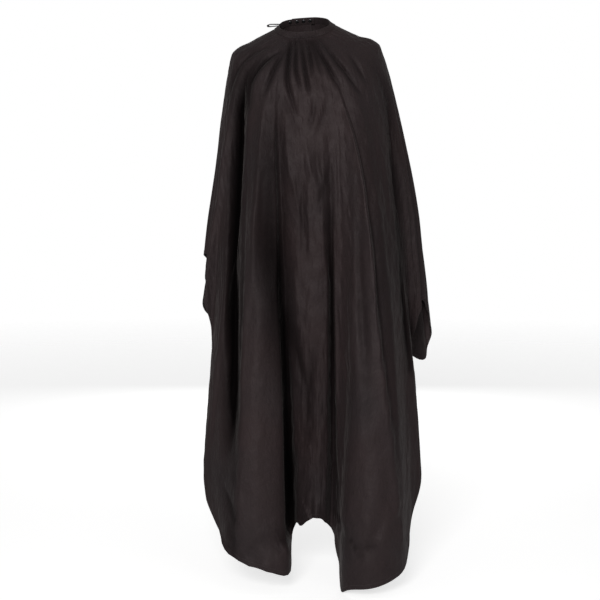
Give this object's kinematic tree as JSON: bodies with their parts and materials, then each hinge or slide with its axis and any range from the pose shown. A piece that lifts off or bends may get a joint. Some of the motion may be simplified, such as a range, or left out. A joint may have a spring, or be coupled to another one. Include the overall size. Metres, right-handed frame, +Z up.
{
  "type": "barber cape",
  "caption": "Long black barber cape in its worn shape, open underneath, with a gathered neckband, a snap closure at the back and a hanging loop.",
  "frame": {"origin": "on the neckband's flat top edge, in the middle of the front", "axes": "+Z up, -Y towards the front of the cape, +X to the viewer's right when the cape is seen from its front"},
  "size_m": [0.5795, 0.4878, 1.3419],
  "materials": {
    "black_polyester": "thin plain-weave polyester with a soft sheen",
    "neckband_cloth": "the same cloth, folded and stitched",
    "woven_tape": "matt woven tape",
    "sewing_thread": "twisted polyester thread",
    "elastic_tape": "knitted elastic tape",
    "label_satin": "blank satin ribbon",
    "snap_metal": "dark, smooth pressed metal"
  },
  "bodies": {
    "cape": {"cape_body": "black_polyester", "neckband_front": "neckband_cloth", "neck_elastic": "elastic_tape", "seam_thread_front": "sewing_thread", "care_label": "label_satin"},
    "over_flap": {"back_flap_over": "black_polyester", "neckband_over": "neckband_cloth", "seam_thread_over": "sewing_thread"},
    "closure_tab": {"neckband_tab": "neckband_cloth", "seam_thread_tab": "sewing_thread", "snap_cap_1": "snap_metal", "snap_cap_2": "snap_metal", "snap_socket_1": "snap_metal", "snap_socket_2": "snap_metal"},
    "under_flap": {"back_flap_under": "black_polyester", "neckband_under": "neckband_cloth", "seam_thread_under": "sewing_thread", "snap_post_1": "snap_metal", "snap_post_2": "snap_metal", "snap_post_3": "snap_metal", "snap_post_4": "snap_metal", "snap_stud_1": "snap_metal", "snap_stud_2": "snap_metal", "snap_stud_3": "snap_metal", "snap_stud_4": "snap_metal"},
    "hang_loop": {"hang_loop": "woven_tape"}
  },
  "joints": [
    {"name": "over_flap_hinge", "type": "hinge", "parent": "cape", "child": "over_flap", "pos_m": [0.04502, 0.10906, 0.03092], "axis": [0.1928, 0.2298, -0.9539], "range_deg": [0, 100]},
    {"name": "under_flap_hinge", "type": "hinge", "parent": "cape", "child": "under_flap", "pos_m": [-0.04287, 0.11137, 0.02522], "axis": [0.1928, -0.2298, 0.9539], "range_deg": [0, 30]},
    {"name": "closure_tab_hinge", "type": "hinge", "parent": "over_flap", "child": "closure_tab", "pos_m": [0.01027, 0.12077, 0.03303], "axis": [0.0698, 0.3737, -0.9249], "range_deg": [0, 150]},
    {"name": "hang_loop_hinge", "type": "hinge", "parent": "cape", "child": "hang_loop", "pos_m": [-0.05315, 0.10247, 0.02734], "axis": [0.5744, 0.743, 0.3435], "range_deg": [0, 90]}
  ],
  "couplings": [
    {"joint": "under_flap_hinge", "follows": "over_flap_hinge", "ratio": 0.3}
  ]
}
